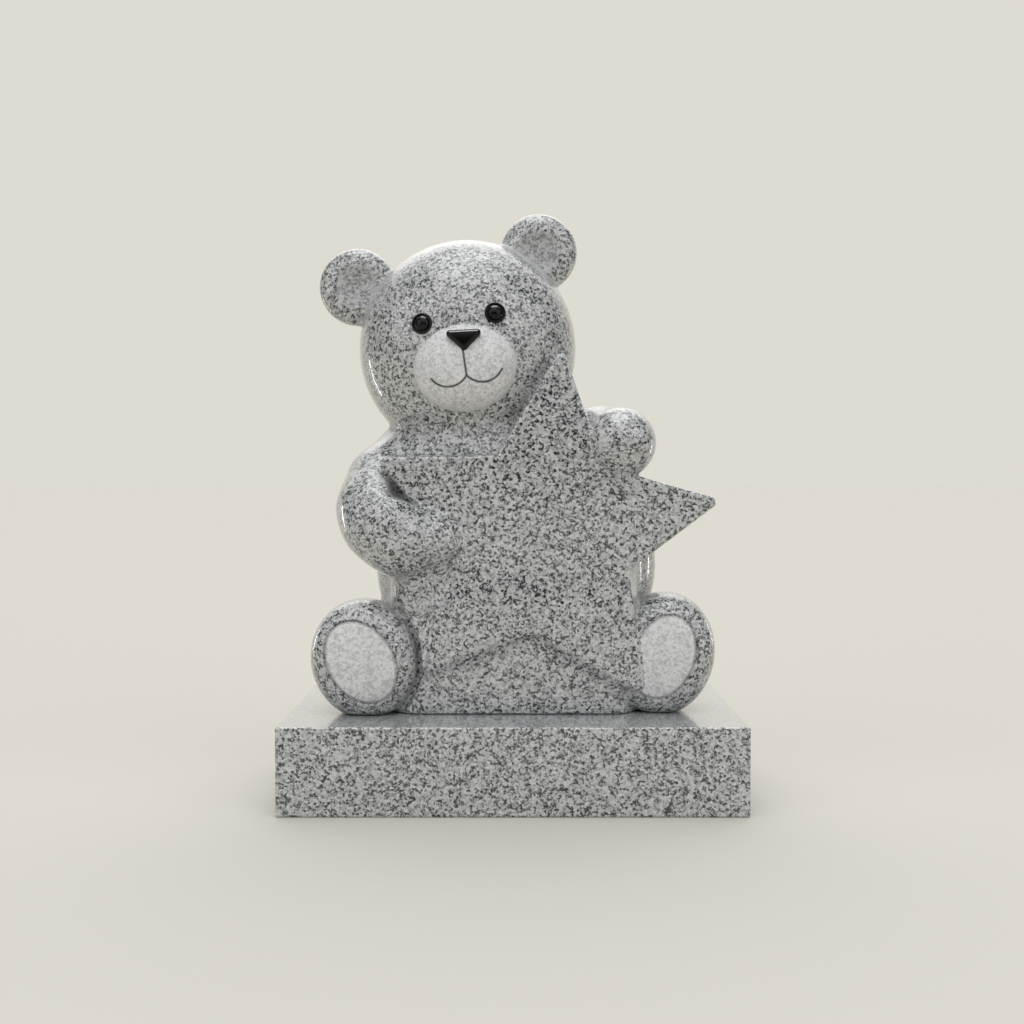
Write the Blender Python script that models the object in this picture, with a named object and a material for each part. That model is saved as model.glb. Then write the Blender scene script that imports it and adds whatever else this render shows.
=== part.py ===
"""Teddy bear headstone: a sitting bear that hugs a big star, carved from one granite block, on its base."""

from math import cos, pi, radians, sin, sqrt

import bmesh
import bpy
from mathutils import Matrix, Vector

# Driving sizes, in metres
BASE_WIDTH = 0.5334
BASE_DEPTH = 0.3048
BASE_HEIGHT = 0.1016
BASE_ARRIS = 0.0025
BEAR_HEIGHT = 0.604
CLEARANCE = 0.0003  # between two stones that touch or fit together
EYE_DIAMETER = 0.025
EYE_RING_HEIGHT = 0.002
EYE_RING_ARRIS = 0.0008
EYE_DOME_DIAMETER = 0.0185
EYE_DOME_HEIGHT = 0.0065
EYE_GROOVE = 0.001  # between the ring and the dome, as wide as it is deep
NOSE_WIDTH = 0.0395
NOSE_HEIGHT = 0.024
NOSE_CORNER = 0.0038
NOSE_SWELL = 0.0078
INSERT_DEPTH = 0.006  # how far the eyes and the nose go into the stone
MOUTH_WIDTH = 0.003  # of the engraved mouth
SOLE_RING_WIDTH = 0.0042  # of the engraved ring round each sole

# The figure is laid out on its own height: 604 units from its underside to the top of its right ear. A unit
# is then a millimetre at the real size. x runs to the viewer's right, y to the back and z up, from the middle
# of the base's top.
FIGURE_UNITS = 604
UNIT = BEAR_HEIGHT / FIGURE_UNITS

# Head and face, in units. The face is laid out on the head's own right and up, which lean by the head's roll.
HEAD_CENTRE = (-55.6, 12.6, 437.1)
HEAD_RADII = (133.3, 100, 133.3)
HEAD_ROLL = 8.2
MUZZLE_PLACE = (-4, -82, -27.5)
MUZZLE_RADII = (60.5, 38, 52.5)
EYES_MIDDLE = (-3.7, 28.1)
EYE_SPREAD = 43
NOSE_PLACE = (-0.7, -0.4)
NOSE_TILT, NOSE_ROLL = 9, 3  # how far the nose looks up, and leans
MOUTH_PLACE = (-3.3, -40.6)
SMILE_CENTRE = (19.8, 14.5)
SMILE_START = -143.8
SMILE_END = -30.2
EAR_RADIUS = 47.5
EAR_HALF_THICKNESS = 24
EAR_FLATNESS = 2.6
EAR_CUP_RADIUS = 30
EAR_CUP_DEPTH = 9
EAR_CUP_SHIFT = 4  # towards the head
EARS = ((-192, 22, 514), (32, 22, 556.5))

# Trunk, in units: (centre, radii)
TORSO = ((4, 25.6, 172), (174, 90, 166))
CHEST = ((-45, -2.4, 280), (115, 72, 95))
SEAT = ((4, 31, 60), (158, 83, 84))
BELLY_BLOCK_LOW = (-146, -76.5, -40)
BELLY_BLOCK_HIGH = (148, 70, 250)
BELLY_BLOCK_ROUNDING = 36

# Limbs, in units: (x, y, z, radius) along each limb
LEFT_ARM = (
    (-128, 18, 301, 50),
    (-155, -20, 270.5, 47),
    (-165, -50, 243, 44.5),
    (-154, -66, 225, 47),
    (-132, -68, 207.5, 45.5),
    (-92, -68, 208, 38.5),
)
RIGHT_ARM = ((75, 28, 312, 56), (105, -12, 316, 50), (127, -63, 320, 46))
LEFT_LEG = ((-170, -18, 62, 58), (-140, 20, 60, 64), (-96, 46, 62, 66))
RIGHT_LEG = ((172, -18, 63, 58), (142, 20, 60, 64), (102, 46, 62, 66))

# Feet, in units. Each sole is an oval that leans outwards at the top.
FEET = (((-176, -53, 64), (63.5, 45, 71.5), 12), ((179.5, -38, 68), (62, 44, 74), -12))
FOOT_FLATNESS = 3.2
SOLES = (((-177, 64), 32, (0.6, 0.71)), ((177, 68), -21, (0.576, 0.685)))  # shares of the foot's radii

# The star's front face, in units. Tips and notches: (degrees anticlockwise from the right, distance)
STAR_CENTRE = (37.5, 210)
STAR_FRONT = -82.4
STAR_THICKNESS = 56
STAR_EDGE_ROUNDING = 4.5
STAR_TIPS = ((84.8, 224), (11.7, 213), (-58.4, 219), (-132.6, 217), (155, 220))
STAR_NOTCHES = ((50.5, 107), (-21.5, 107), (-97.5, 112), (-167, 107), (120.5, 111))
STAR_TIP_ROUNDING = 7
STAR_NOTCH_ROUNDING = 5

# How finely the solids are worked: (round, front to back) for the eggs
VOXEL = 5 * UNIT
MASS_SHARE_KEPT = 0.058
MASS_SEGMENTS = (36, 22)
MUZZLE_SEGMENTS = (32, 18)
EAR_SEGMENTS = (26, 12)
EAR_CUP_SEGMENTS = (24, 26)
FOOT_SEGMENTS = (30, 14)
SOLE_RING_POINTS = 32
MOUTH_ARC_POINTS = 11
EYE_SIDES = 20


def clear_scene():
    for item in list(bpy.data.objects):
        bpy.data.objects.remove(item, do_unlink=True)


def stone(name, colour, roughness):
    """A plain Principled material for one kind of stone."""
    material = bpy.data.materials.new(name)
    material.use_nodes = True
    shader = material.node_tree.nodes["Principled BSDF"]
    shader.inputs["Base Color"].default_value = (*colour, 1)
    shader.inputs["Roughness"].default_value = roughness
    shader.inputs["Metallic"].default_value = 0
    return material


def placed(x, y, z):
    """A point of the figure, from units to metres above the base."""
    return Vector((x * UNIT, y * UNIT, BASE_HEIGHT + CLEARANCE + z * UNIT))


def make_object(name, mesh, material=None):
    """A named object from a bmesh, shaded smooth but for its sharp edges."""
    if mesh.calc_volume(signed=True) < 0:
        bmesh.ops.reverse_faces(mesh, faces=mesh.faces)
    data = bpy.data.meshes.new(name)
    mesh.to_mesh(data)
    mesh.free()
    data.shade_smooth()
    data.set_sharp_from_angle(angle=radians(35))
    if material:
        data.materials.append(material)
    made = bpy.data.objects.new(name, data)
    bpy.context.scene.collection.objects.link(made)
    return made


def helper(made):
    """Keeps an object out of the model: it only shapes another."""
    made.hide_render = True
    made.display_type = "WIRE"
    return made


def combine(target, other, operation):
    """Adds a Boolean with a helper object to the target."""
    step = target.modifiers.new(other.name, "BOOLEAN")
    step.object = helper(other)
    step.operation = operation
    step.solver = "EXACT"


def add_egg(mesh, centre, radii, roll=0, flatness=2, segments=MASS_SEGMENTS):
    """An ellipsoid with its poles front and back. Flatness over 2 squares its front and back off."""
    made = bmesh.ops.create_uvsphere(mesh, u_segments=segments[0], v_segments=segments[1], radius=1)
    upright = Matrix.Rotation(pi / 2, 3, "X")
    leaning = Matrix.Rotation(-radians(roll), 3, "Y")
    for vertex in made["verts"]:
        point = upright @ vertex.co
        across = sqrt(point.x**2 + point.z**2)
        point *= (across**flatness + abs(point.y) ** flatness) ** (-1 / flatness)
        point = leaning @ Vector([part * radius for part, radius in zip(point, radii)])
        vertex.co = placed(*(point + Vector(centre)))


def add_limb(mesh, stations):
    """A rounded limb: the hull of each pair of neighbouring balls along it."""
    for first, second in zip(stations, stations[1:]):
        skin = []
        for x, y, z, radius in (first, second):
            ball = bmesh.ops.create_uvsphere(mesh, u_segments=32, v_segments=20, radius=radius * UNIT)
            bmesh.ops.translate(mesh, verts=ball["verts"], vec=placed(x, y, z))
            skin += ball["verts"]
        hull = bmesh.ops.convex_hull(mesh, input=skin)
        spare = {part for part in hull["geom_interior"] if isinstance(part, bmesh.types.BMVert)}
        bmesh.ops.delete(mesh, geom=list(spare), context="VERTS")


def add_block(mesh, low, high, rounding):
    """A block with rounded edges between two corners."""
    made = bmesh.ops.create_cube(mesh, size=1)["verts"]
    for vertex in made:
        corner = [high[axis] if vertex.co[axis] > 0 else low[axis] for axis in range(3)]
        vertex.co = placed(*corner)
    edges = list({edge for vertex in made for edge in vertex.link_edges})
    bmesh.ops.bevel(mesh, geom=edges, offset=rounding * UNIT, segments=6, profile=0.5, affect="EDGES")


def add_rings(mesh, rings):
    """A closed solid through rings of points, with a flat cap at each end."""
    rows = [[mesh.verts.new(point) for point in ring] for ring in rings]
    count = len(rows[0])
    for low, high in zip(rows, rows[1:]):
        for start in range(count):
            after = (start + 1) % count
            mesh.faces.new((low[start], low[after], high[after], high[start]))
    mesh.faces.new(list(reversed(rows[0])))
    mesh.faces.new(rows[-1])


def rounded_corners(corners, roundings, steps):
    """The corners of a flat outline, each turned into an arc that touches both its sides."""
    outline = []
    for index, corner in enumerate(corners):
        to_last = (Vector(corners[index - 1]) - Vector(corner)).normalized()
        to_next = (Vector(corners[(index + 1) % len(corners)]) - Vector(corner)).normalized()
        half_angle = to_last.angle(to_next) / 2
        centre = Vector(corner) + (to_last + to_next).normalized() * roundings[index] / sin(half_angle)
        reach = roundings[index] / sin(half_angle) * cos(half_angle)
        start = Vector(corner) + to_last * reach - centre
        end = Vector(corner) + to_next * reach - centre
        for step in range(steps + 1):
            outline.append(centre + start.slerp(end, step / steps).normalized() * roundings[index])
    return outline


def inset_outline(outline, distance):
    """An anticlockwise outline moved inwards, each point along its own normal."""
    moved = []
    for index, point in enumerate(outline):
        along = (outline[(index + 1) % len(outline)] - outline[index - 1]).normalized()
        moved.append(point + Vector((-along.y, along.x)) * distance)
    return moved


def face_point(right, up, y):
    """A point of the face, from the head's own right and up, and y from the head's centre."""
    roll = radians(HEAD_ROLL)
    x = HEAD_CENTRE[0] + right * cos(roll) - up * sin(roll)
    z = HEAD_CENTRE[2] + right * sin(roll) + up * cos(roll)
    return Vector((x, HEAD_CENTRE[1] + y, z))


def on_egg(right, up, centre, radii):
    """Where the front of an ellipsoid of the head lies at this right and up, and which way it faces."""
    across = (right - centre[0]) / radii[0]
    along = (up - centre[2]) / radii[2]
    depth = -sqrt(1 - across**2 - along**2)
    point = face_point(right, up, centre[1] + depth * radii[1])
    slope = Vector((across / radii[0], depth / radii[1], along / radii[2]))
    facing = Matrix.Rotation(-radians(HEAD_ROLL), 3, "Y") @ slope.normalized()
    return point, facing


def seat_frame(point, facing, lean=HEAD_ROLL):
    """A frame at a point of the face: z out of the stone, y as near to the leaning up as it goes."""
    roll = radians(lean)
    out = facing.normalized()
    side = Vector((-sin(roll), 0, cos(roll))).cross(out).normalized()
    turn = Matrix((side, out.cross(side), out)).transposed().to_4x4()
    return Matrix.Translation(placed(*point)) @ turn


def eye_circle(radius, height):
    angles = [2 * pi * step / EYE_SIDES for step in range(EYE_SIDES)]
    return [Vector((radius * cos(angle), radius * sin(angle), height)) for angle in angles]


def line_cutter(name, points, width, closed=False):
    """A bar along points in metres, for an engraved line."""
    curve = bpy.data.curves.new(name, "CURVE")
    curve.dimensions = "3D"
    curve.bevel_depth = width / 2
    curve.bevel_resolution = 0
    curve.use_fill_caps = not closed
    path = curve.splines.new("POLY")
    path.points.add(len(points) - 1)
    for spot, point in zip(path.points, points):
        spot.co = (*point, 1)
    path.use_cyclic_u = closed
    guide = bpy.data.objects.new(name + "_path", curve)
    mesh = bmesh.new()
    mesh.from_mesh(bpy.data.meshes.new_from_object(guide))
    bmesh.ops.remove_doubles(mesh, verts=mesh.verts, dist=width / 100)
    bpy.data.objects.remove(guide, do_unlink=True)
    return make_object(name, mesh)


def make_masses(granite):
    """Head, trunk, arms and legs, melted into one soft body."""
    mesh = bmesh.new()
    add_egg(mesh, HEAD_CENTRE, HEAD_RADII)
    for centre, radii in (TORSO, CHEST, SEAT):
        add_egg(mesh, centre, radii)
    add_block(mesh, BELLY_BLOCK_LOW, BELLY_BLOCK_HIGH, BELLY_BLOCK_ROUNDING)
    for limb in (LEFT_ARM, RIGHT_ARM, LEFT_LEG, RIGHT_LEG):
        add_limb(mesh, limb)
    bear = make_object("bear", mesh, granite)
    melt = bear.modifiers.new("melt", "REMESH")
    melt.mode = "VOXEL"
    melt.voxel_size = VOXEL
    melt.use_smooth_shade = True
    rub = bear.modifiers.new("rub_down", "SMOOTH")
    rub.factor = 0.5
    rub.iterations = 6
    facet = bear.modifiers.new("facet", "DECIMATE")
    facet.ratio = MASS_SHARE_KEPT
    return bear


def even_shading(made):
    """Keeps the big flat faces flat where they are shaded smooth into the round ones."""
    shading = made.modifiers.new("even_shading", "WEIGHTED_NORMAL")
    shading.keep_sharp = True


def make_ear(name, centre):
    """A thick round ear, with its rim rounded over and a shallow cup in its front."""
    mesh = bmesh.new()
    radii = (EAR_RADIUS, EAR_HALF_THICKNESS, EAR_RADIUS)
    add_egg(mesh, centre, radii, flatness=EAR_FLATNESS, segments=EAR_SEGMENTS)
    ear = make_object(name, mesh)
    ball_radius = (EAR_CUP_RADIUS**2 + EAR_CUP_DEPTH**2) / (2 * EAR_CUP_DEPTH)
    inwards = Vector((HEAD_CENTRE[0] - centre[0], 0, HEAD_CENTRE[2] - centre[2])).normalized()
    middle = Vector(centre) + inwards * EAR_CUP_SHIFT
    middle.y += EAR_CUP_DEPTH - EAR_HALF_THICKNESS - ball_radius
    mesh = bmesh.new()
    add_egg(mesh, middle, (ball_radius,) * 3, segments=EAR_CUP_SEGMENTS)
    combine(ear, make_object(name + "_cup", mesh), "DIFFERENCE")
    return ear


def make_foot(name, centre, radii, roll):
    mesh = bmesh.new()
    add_egg(mesh, centre, radii, roll, FOOT_FLATNESS, segments=FOOT_SEGMENTS)
    return make_object(name, mesh)


def make_sole_ring(name, foot, sole):
    """The engraved ring round a sole, lying on the front of its foot."""
    (foot_centre, foot_radii, foot_roll), (middle, lean, shares) = foot, sole
    points = []
    for step in range(SOLE_RING_POINTS):
        angle = 2 * pi * step / SOLE_RING_POINTS
        right = shares[0] * foot_radii[0] * cos(angle)
        up = shares[1] * foot_radii[2] * sin(angle)
        tilt = radians(lean)
        x = middle[0] + right * cos(tilt) - up * sin(tilt)
        z = middle[1] + right * sin(tilt) + up * cos(tilt)
        roll = radians(foot_roll)
        dx, dz = x - foot_centre[0], z - foot_centre[2]
        across = (dx * cos(roll) + dz * sin(roll)) / foot_radii[0]
        along = (-dx * sin(roll) + dz * cos(roll)) / foot_radii[2]
        depth = (1 - (across**2 + along**2) ** (FOOT_FLATNESS / 2)) ** (1 / FOOT_FLATNESS)
        points.append(placed(x, foot_centre[1] - foot_radii[1] * depth, z))
    return line_cutter(name, points, SOLE_RING_WIDTH, closed=True)


def make_star():
    """The star: its outline's corners rounded, and its front and back edges rounded over."""
    corners, roundings = [], []
    for tip, notch in zip(STAR_TIPS, STAR_NOTCHES[-1:] + STAR_NOTCHES[:-1]):
        for (degrees, distance), rounding in ((notch, STAR_NOTCH_ROUNDING), (tip, STAR_TIP_ROUNDING)):
            corners.append((distance * cos(radians(degrees)), distance * sin(radians(degrees))))
            roundings.append(rounding)
    corners.reverse()
    roundings.reverse()
    outline = rounded_corners(corners, roundings, steps=4)
    rings = []
    for facing, y in ((-1, STAR_FRONT), (1, STAR_FRONT + STAR_THICKNESS)):
        turns = [radians(angle) for angle in (90, 45, 0)]
        if facing > 0:
            turns.reverse()
        for turn in turns:
            inset = STAR_EDGE_ROUNDING * (1 - cos(turn))
            depth = y - facing * STAR_EDGE_ROUNDING * (1 - sin(turn))
            ring = inset_outline(outline, inset)
            rings.append([placed(STAR_CENTRE[0] + p.x, depth, STAR_CENTRE[1] + p.y) for p in ring])
    mesh = bmesh.new()
    add_rings(mesh, rings)
    return make_object("star", mesh)


def make_muzzle():
    mesh = bmesh.new()
    right, y, up = MUZZLE_PLACE
    add_egg(mesh, face_point(right, up, y), MUZZLE_RADII, HEAD_ROLL, segments=MUZZLE_SEGMENTS)
    return make_object("muzzle", mesh)


def mouth_point(right, up):
    point, _ = on_egg(MOUTH_PLACE[0] + right, MOUTH_PLACE[1] + up, MUZZLE_PLACE, MUZZLE_RADII)
    return placed(*point)


def make_mouth():
    """Three engraved lines: one down from the nose, and an arc to each side."""
    drop = NOSE_PLACE[1] - MOUTH_PLACE[1] - NOSE_HEIGHT / UNIT / 4
    lines = [line_cutter("mouth_drop", [mouth_point(0, drop * step / 4) for step in range(5)], MOUTH_WIDTH)]
    radius = sqrt(SMILE_CENTRE[0] ** 2 + SMILE_CENTRE[1] ** 2)
    for name, side in (("mouth_left", -1), ("mouth_right", 1)):
        points = []
        for step in range(MOUTH_ARC_POINTS):
            share = step / (MOUTH_ARC_POINTS - 1)
            angle = radians(SMILE_START + (SMILE_END - SMILE_START) * share)
            across = SMILE_CENTRE[0] + radius * cos(angle)
            points.append(mouth_point(side * across, SMILE_CENTRE[1] + radius * sin(angle)))
        lines.append(line_cutter(name, points, MOUTH_WIDTH))
    return lines


def make_base(granite):
    mesh = bmesh.new()
    bmesh.ops.create_cube(mesh, size=1)
    for vertex in mesh.verts:
        half_up = vertex.co.z + 0.5
        vertex.co = (vertex.co.x * BASE_WIDTH, vertex.co.y * BASE_DEPTH, half_up * BASE_HEIGHT)
    base = make_object("base", mesh, granite)
    arris = base.modifiers.new("arris", "BEVEL")
    arris.width = BASE_ARRIS
    arris.segments = 2
    return base


def make_eye(name, side, black):
    """A polished eye: a low ring round a dome, on a plug that goes into the head. Returns its socket."""
    point, facing = on_egg(EYES_MIDDLE[0] + side * EYE_SPREAD, EYES_MIDDLE[1], (0, 0, 0), HEAD_RADII)
    frame = seat_frame(point, facing)
    ring, dome = EYE_DIAMETER / 2, EYE_DOME_DIAMETER / 2
    floor = EYE_RING_HEIGHT - EYE_GROOVE
    profile = [(ring, CLEARANCE - INSERT_DEPTH), (ring, 0)]
    profile += [(ring - EYE_RING_ARRIS, EYE_RING_HEIGHT), (dome + EYE_GROOVE, EYE_RING_HEIGHT)]
    for turn in (radians(degrees) for degrees in (0, 22.5, 45, 67.5)):
        profile.append((dome * cos(turn), floor + (EYE_DOME_HEIGHT - floor) * sin(turn)))
    mesh = bmesh.new()
    add_rings(mesh, [[frame @ p for p in eye_circle(radius, height)] for radius, height in profile])
    make_object(name, mesh, black)
    wall, depths = ring + CLEARANCE, (-INSERT_DEPTH, INSERT_DEPTH)
    mesh = bmesh.new()
    add_rings(mesh, [[frame @ p for p in eye_circle(wall, height)] for height in depths])
    return make_object(name + "_socket", mesh)


def nose_outline():
    """A rounded triangle, flat above and pointed below, as wide and high as the nose."""
    across, up = NOSE_WIDTH / 2 - NOSE_CORNER, NOSE_HEIGHT / 2 - NOSE_CORNER
    middles = [Vector((-across, up)), Vector((0, -up)), Vector((across, up))]
    outline = []
    for index, middle in enumerate(middles):
        before = middle - middles[index - 1]
        after = middles[(index + 1) % 3] - middle
        start, end = Vector((before.y, -before.x)), Vector((after.y, -after.x))
        for step in range(5):
            outline.append(middle + start.slerp(end, step / 4).normalized() * NOSE_CORNER)
    return outline


def make_nose(black):
    """The nose: a swelling rounded triangle on a plug of its own outline. Returns its socket."""
    point, _ = on_egg(*NOSE_PLACE, MUZZLE_PLACE, MUZZLE_RADII)
    facing = Vector((0, -cos(radians(NOSE_TILT)), sin(radians(NOSE_TILT))))
    frame = seat_frame(point, facing, NOSE_ROLL)
    outline = nose_outline()
    mesh = bmesh.new()
    rings = [[frame @ Vector((p.x, p.y, CLEARANCE - INSERT_DEPTH)) for p in outline]]
    for inset, rise in ((0, 0.32), (0.08, 0.55), (0.32, 0.91), (0.6, 1)):
        rings.append([frame @ Vector((*(p * (1 - inset)), rise * NOSE_SWELL)) for p in outline])
    add_rings(mesh, rings)
    make_object("nose", mesh, black)
    wall = inset_outline(outline, -CLEARANCE)
    depths = (-INSERT_DEPTH, NOSE_SWELL * 2)
    mesh = bmesh.new()
    add_rings(mesh, [[frame @ Vector((p.x, p.y, height)) for p in wall] for height in depths])
    return make_object("nose_socket", mesh)


def make_underside_cutter():
    """Everything below the figure's flat underside."""
    mesh = bmesh.new()
    bmesh.ops.create_cube(mesh, size=1)
    for vertex in mesh.verts:
        x, y, z = vertex.co * FIGURE_UNITS * 2
        vertex.co = placed(x, y, z - FIGURE_UNITS)
    return make_object("underside", mesh)


def build():
    clear_scene()
    granite = stone("speckled_granite", (0.42, 0.43, 0.44), 0.15)
    black = stone("black_granite", (0.01, 0.01, 0.012), 0.08)
    make_base(granite)
    bear = make_masses(granite)
    combine(bear, make_star(), "UNION")
    combine(bear, make_muzzle(), "UNION")
    for side, centre in zip(("left", "right"), EARS):
        combine(bear, make_ear(side + "_ear", centre), "UNION")
    for side, foot, sole in zip(("left", "right"), FEET, SOLES):
        combine(bear, make_foot(side + "_foot", *foot), "UNION")
        combine(bear, make_sole_ring(side + "_sole_ring", foot, sole), "DIFFERENCE")
    combine(bear, make_underside_cutter(), "DIFFERENCE")
    for name, side in (("left_eye", -1), ("right_eye", 1)):
        combine(bear, make_eye(name, side, black), "DIFFERENCE")
    for line in make_mouth():
        combine(bear, line, "DIFFERENCE")
    combine(bear, make_nose(black), "DIFFERENCE")
    even_shading(bear)


build()
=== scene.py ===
# %% [markdown]
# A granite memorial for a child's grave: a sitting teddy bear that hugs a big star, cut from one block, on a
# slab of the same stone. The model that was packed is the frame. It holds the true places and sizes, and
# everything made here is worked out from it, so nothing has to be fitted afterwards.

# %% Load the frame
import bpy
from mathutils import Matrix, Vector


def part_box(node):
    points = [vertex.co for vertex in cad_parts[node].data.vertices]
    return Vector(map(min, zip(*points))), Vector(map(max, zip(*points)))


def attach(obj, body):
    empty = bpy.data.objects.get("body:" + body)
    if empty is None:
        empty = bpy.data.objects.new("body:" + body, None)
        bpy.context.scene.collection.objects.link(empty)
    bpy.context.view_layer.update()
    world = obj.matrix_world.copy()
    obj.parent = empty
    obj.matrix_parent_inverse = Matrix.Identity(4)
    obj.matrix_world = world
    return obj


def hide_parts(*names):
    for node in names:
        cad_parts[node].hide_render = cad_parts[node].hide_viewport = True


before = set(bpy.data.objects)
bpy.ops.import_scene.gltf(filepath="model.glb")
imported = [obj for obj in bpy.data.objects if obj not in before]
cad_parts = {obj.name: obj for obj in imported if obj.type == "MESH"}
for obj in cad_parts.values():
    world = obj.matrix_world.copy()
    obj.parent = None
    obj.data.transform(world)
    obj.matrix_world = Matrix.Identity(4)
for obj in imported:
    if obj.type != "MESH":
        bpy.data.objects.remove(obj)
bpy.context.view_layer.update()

from math import cos, pi, radians, sin, sqrt

import bmesh
import bpy
import numpy as np
import openvdb
from mathutils import Matrix, Vector

# %% [markdown]
# The carver works from a drawing whose unit is a share of the bear's own height, 604 units from its flat
# underside to the top of its right ear. A unit is a millimetre on the real stone. The drawing's origin is the
# middle of the slab's top: x runs to the viewer's right, y to the back and z up. Two helpers turn lengths and
# points of the drawing into Blender's metres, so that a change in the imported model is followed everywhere.

# %% The drawing's unit
FIGURE_UNITS = 604
bear_low, bear_high = (np.array(corner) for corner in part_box("bear"))
base_low, base_high = (np.array(corner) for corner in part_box("base"))
UNIT = (bear_high[2] - bear_low[2]) / FIGURE_UNITS
ORIGIN = np.array([(base_low[0] + base_high[0]) / 2, (base_low[1] + base_high[1]) / 2, bear_low[2]])


def placed(point):
    """A point or an array of points of the drawing, in metres."""
    return ORIGIN + np.asarray(point) * UNIT


print("one unit is", round(UNIT * 1000, 4), "mm, the slab is", np.round(base_high - base_low, 4), "m")

# %% [markdown]
# The camera stands where the photographer stood: nearly level, a little above the star's middle, about 1.4 m
# in front of the slab. Its lens is worked out from the frame's width and the focal length, both in pixels,
# which is how a photograph is measured. Depth of field stays off.

# %% The camera
FOCAL_PIXELS, FRAME_PIXELS, SENSOR_WIDTH = 1290, 1024, 36
CAMERA_PLACE = (-0.001, -1.5871, 0.3879)
CAMERA_PITCH = 1.793

camera_data = bpy.data.cameras.new("camera")
camera_data.sensor_width = SENSOR_WIDTH
camera_data.lens = SENSOR_WIDTH * FOCAL_PIXELS / FRAME_PIXELS
camera = bpy.data.objects.new("camera", camera_data)
camera.location = CAMERA_PLACE
camera.rotation_euler = (radians(90 - CAMERA_PITCH), 0, 0)
bpy.context.scene.collection.objects.link(camera)
bpy.context.scene.camera = camera
print("lens", round(camera_data.lens, 2), "mm")

# %% [markdown]
# A showroom's pale floor carries the slab. A big matt plane is enough, painted so that it meets the pale room
# without a line.

# %% The floor
FLOOR_HALF_WIDTH = 30
FLOOR_COLOUR, FLOOR_ROUGHNESS = (0.583, 0.561, 0.511, 1), 0.9


def new_material(name):
    material = bpy.data.materials.new(name)
    material.use_nodes = True
    return material, material.node_tree, material.node_tree.nodes["Principled BSDF"]


def new_object(name, mesh):
    """Links a finished bmesh or mesh to the scene under a name."""
    if isinstance(mesh, bmesh.types.BMesh):
        data = bpy.data.meshes.new(name)
        mesh.to_mesh(data)
        mesh.free()
        mesh = data
    made = bpy.data.objects.new(name, mesh)
    bpy.context.scene.collection.objects.link(made)
    return made


plane = bmesh.new()
bmesh.ops.create_grid(plane, x_segments=1, y_segments=1, size=FLOOR_HALF_WIDTH)
floor = new_object("floor", plane)
floor_paint, _, floor_shader = new_material("floor_paint")
floor_shader.inputs["Base Color"].default_value = FLOOR_COLOUR
floor_shader.inputs["Roughness"].default_value = FLOOR_ROUGHNESS
floor_shader.inputs["Specular IOR Level"].default_value = 0
floor.data.materials.append(floor_paint)
print("floor", floor.name)

# %% [markdown]
# Polished granite is judged by what it mirrors. Fresnel's law makes it a strong mirror where the eye grazes
# it, and a weak one elsewhere. So the room is bright behind the stone, which pales its outline and the slab's
# top, and nearly dark low in front, which keeps the eyes black. Overhead, high in front and lower at both
# sides the light swells softly, as under cloth. All of it is the world's own light: smooth formulas of the
# direction, which leave no hard edges and little noise. The light from behind is warmer than the rest.

# %% The room's light
ROOM_DARK = 0.05
# Each glow: its axis, the nearness to it where it starts and where it is full, and its strength.
BACK_GLOW = ((0, 1, 0), 0.25, 0.62, 0.75)
OTHER_GLOWS = (
    ((0, 0.42, 0.91), 0.62, 0.97, 1.4),
    ((0, -0.12, 1), 0.87, 0.96, 1.35),
    ((0, -0.62, 0.78), 0.8, 0.97, 1.3),
    ((-0.74, -0.55, 0.38), 0.87, 0.96, 1.2),
    ((0.74, -0.55, 0.38), 0.87, 0.96, 1.2),
)
WARM_LIGHT, COOL_LIGHT = (1, 0.96, 0.86), (0.985, 0.995, 1)
SEEN_LIGHT = (0.73, 0.708, 0.637, 1)  # what the camera sees of the room

world = bpy.data.worlds.new("room")
world.use_nodes = True
bpy.context.scene.world = world
tree = world.node_tree
background = tree.nodes["Background"]
direction = tree.nodes.new("ShaderNodeTexCoord").outputs["Generated"]


def swell(axis, start, end, amount):
    """Light that swells from nothing to the amount as the direction nears the axis."""
    nearness = tree.nodes.new("ShaderNodeVectorMath")
    nearness.operation = "DOT_PRODUCT"
    nearness.inputs[1].default_value = Vector(axis).normalized()
    tree.links.new(direction, nearness.inputs[0])
    glow = tree.nodes.new("ShaderNodeMapRange")
    glow.interpolation_type = "SMOOTHSTEP"
    for label, value in (("From Min", start), ("From Max", end), ("To Max", amount)):
        glow.inputs[label].default_value = value
    tree.links.new(nearness.outputs["Value"], glow.inputs["Value"])
    return glow.outputs["Result"]


def scaled_colour(colour, amount):
    """A colour times a strength that comes from a socket."""
    node = tree.nodes.new("ShaderNodeVectorMath")
    node.operation = "SCALE"
    node.inputs[0].default_value = colour
    tree.links.new(amount, node.inputs["Scale"])
    return node.outputs[0]


def total_of(sockets, kind):
    """The sum of several sockets, through a chain of Math or Vector Math nodes."""
    total = sockets[0]
    for socket in sockets[1:]:
        node = tree.nodes.new(kind)
        node.operation = "ADD"
        tree.links.new(total, node.inputs[0])
        tree.links.new(socket, node.inputs[1])
        total = node.outputs[0]
    return total


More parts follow.
